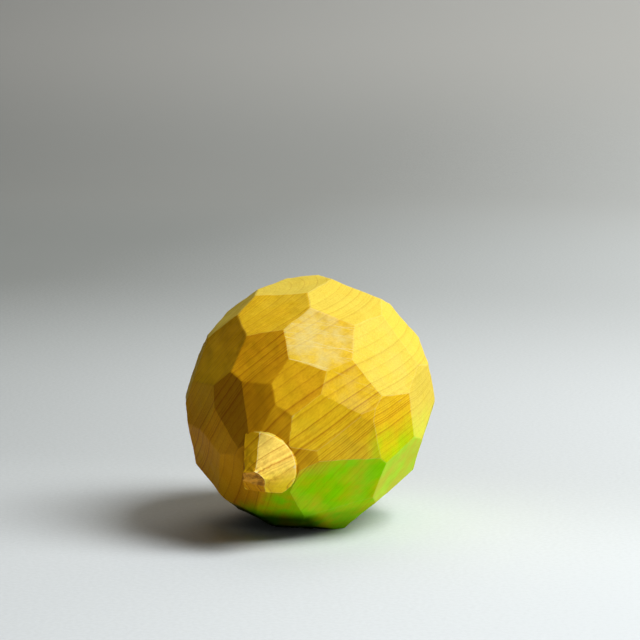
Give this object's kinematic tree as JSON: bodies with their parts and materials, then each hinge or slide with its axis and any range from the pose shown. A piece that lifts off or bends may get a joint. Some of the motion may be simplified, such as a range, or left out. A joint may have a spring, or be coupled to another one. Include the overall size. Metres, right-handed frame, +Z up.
{
  "type": "carved wooden lemon",
  "caption": "Lemon carved from one piece of wood, with flat knife facets and a short blunt tip, dyed yellow with a green underside. Lies on a small flat facet as a decoration.",
  "frame": {"origin": "middle of the lemon's footprint box, on the surface that it lies on", "axes": "+Z up, -Y towards the blossom end with its tip, +X to the right of someone who looks at the tip"},
  "size_m": [0.06, 0.0814, 0.0606],
  "materials": {
    "dyed_wood": "knife-cut wood with its grain showing, dyed yellow, green on the underside, matt to satin"
  },
  "bodies": {
    "root": {"carved_lemon": "dyed_wood"}
  },
  "joints": []
}
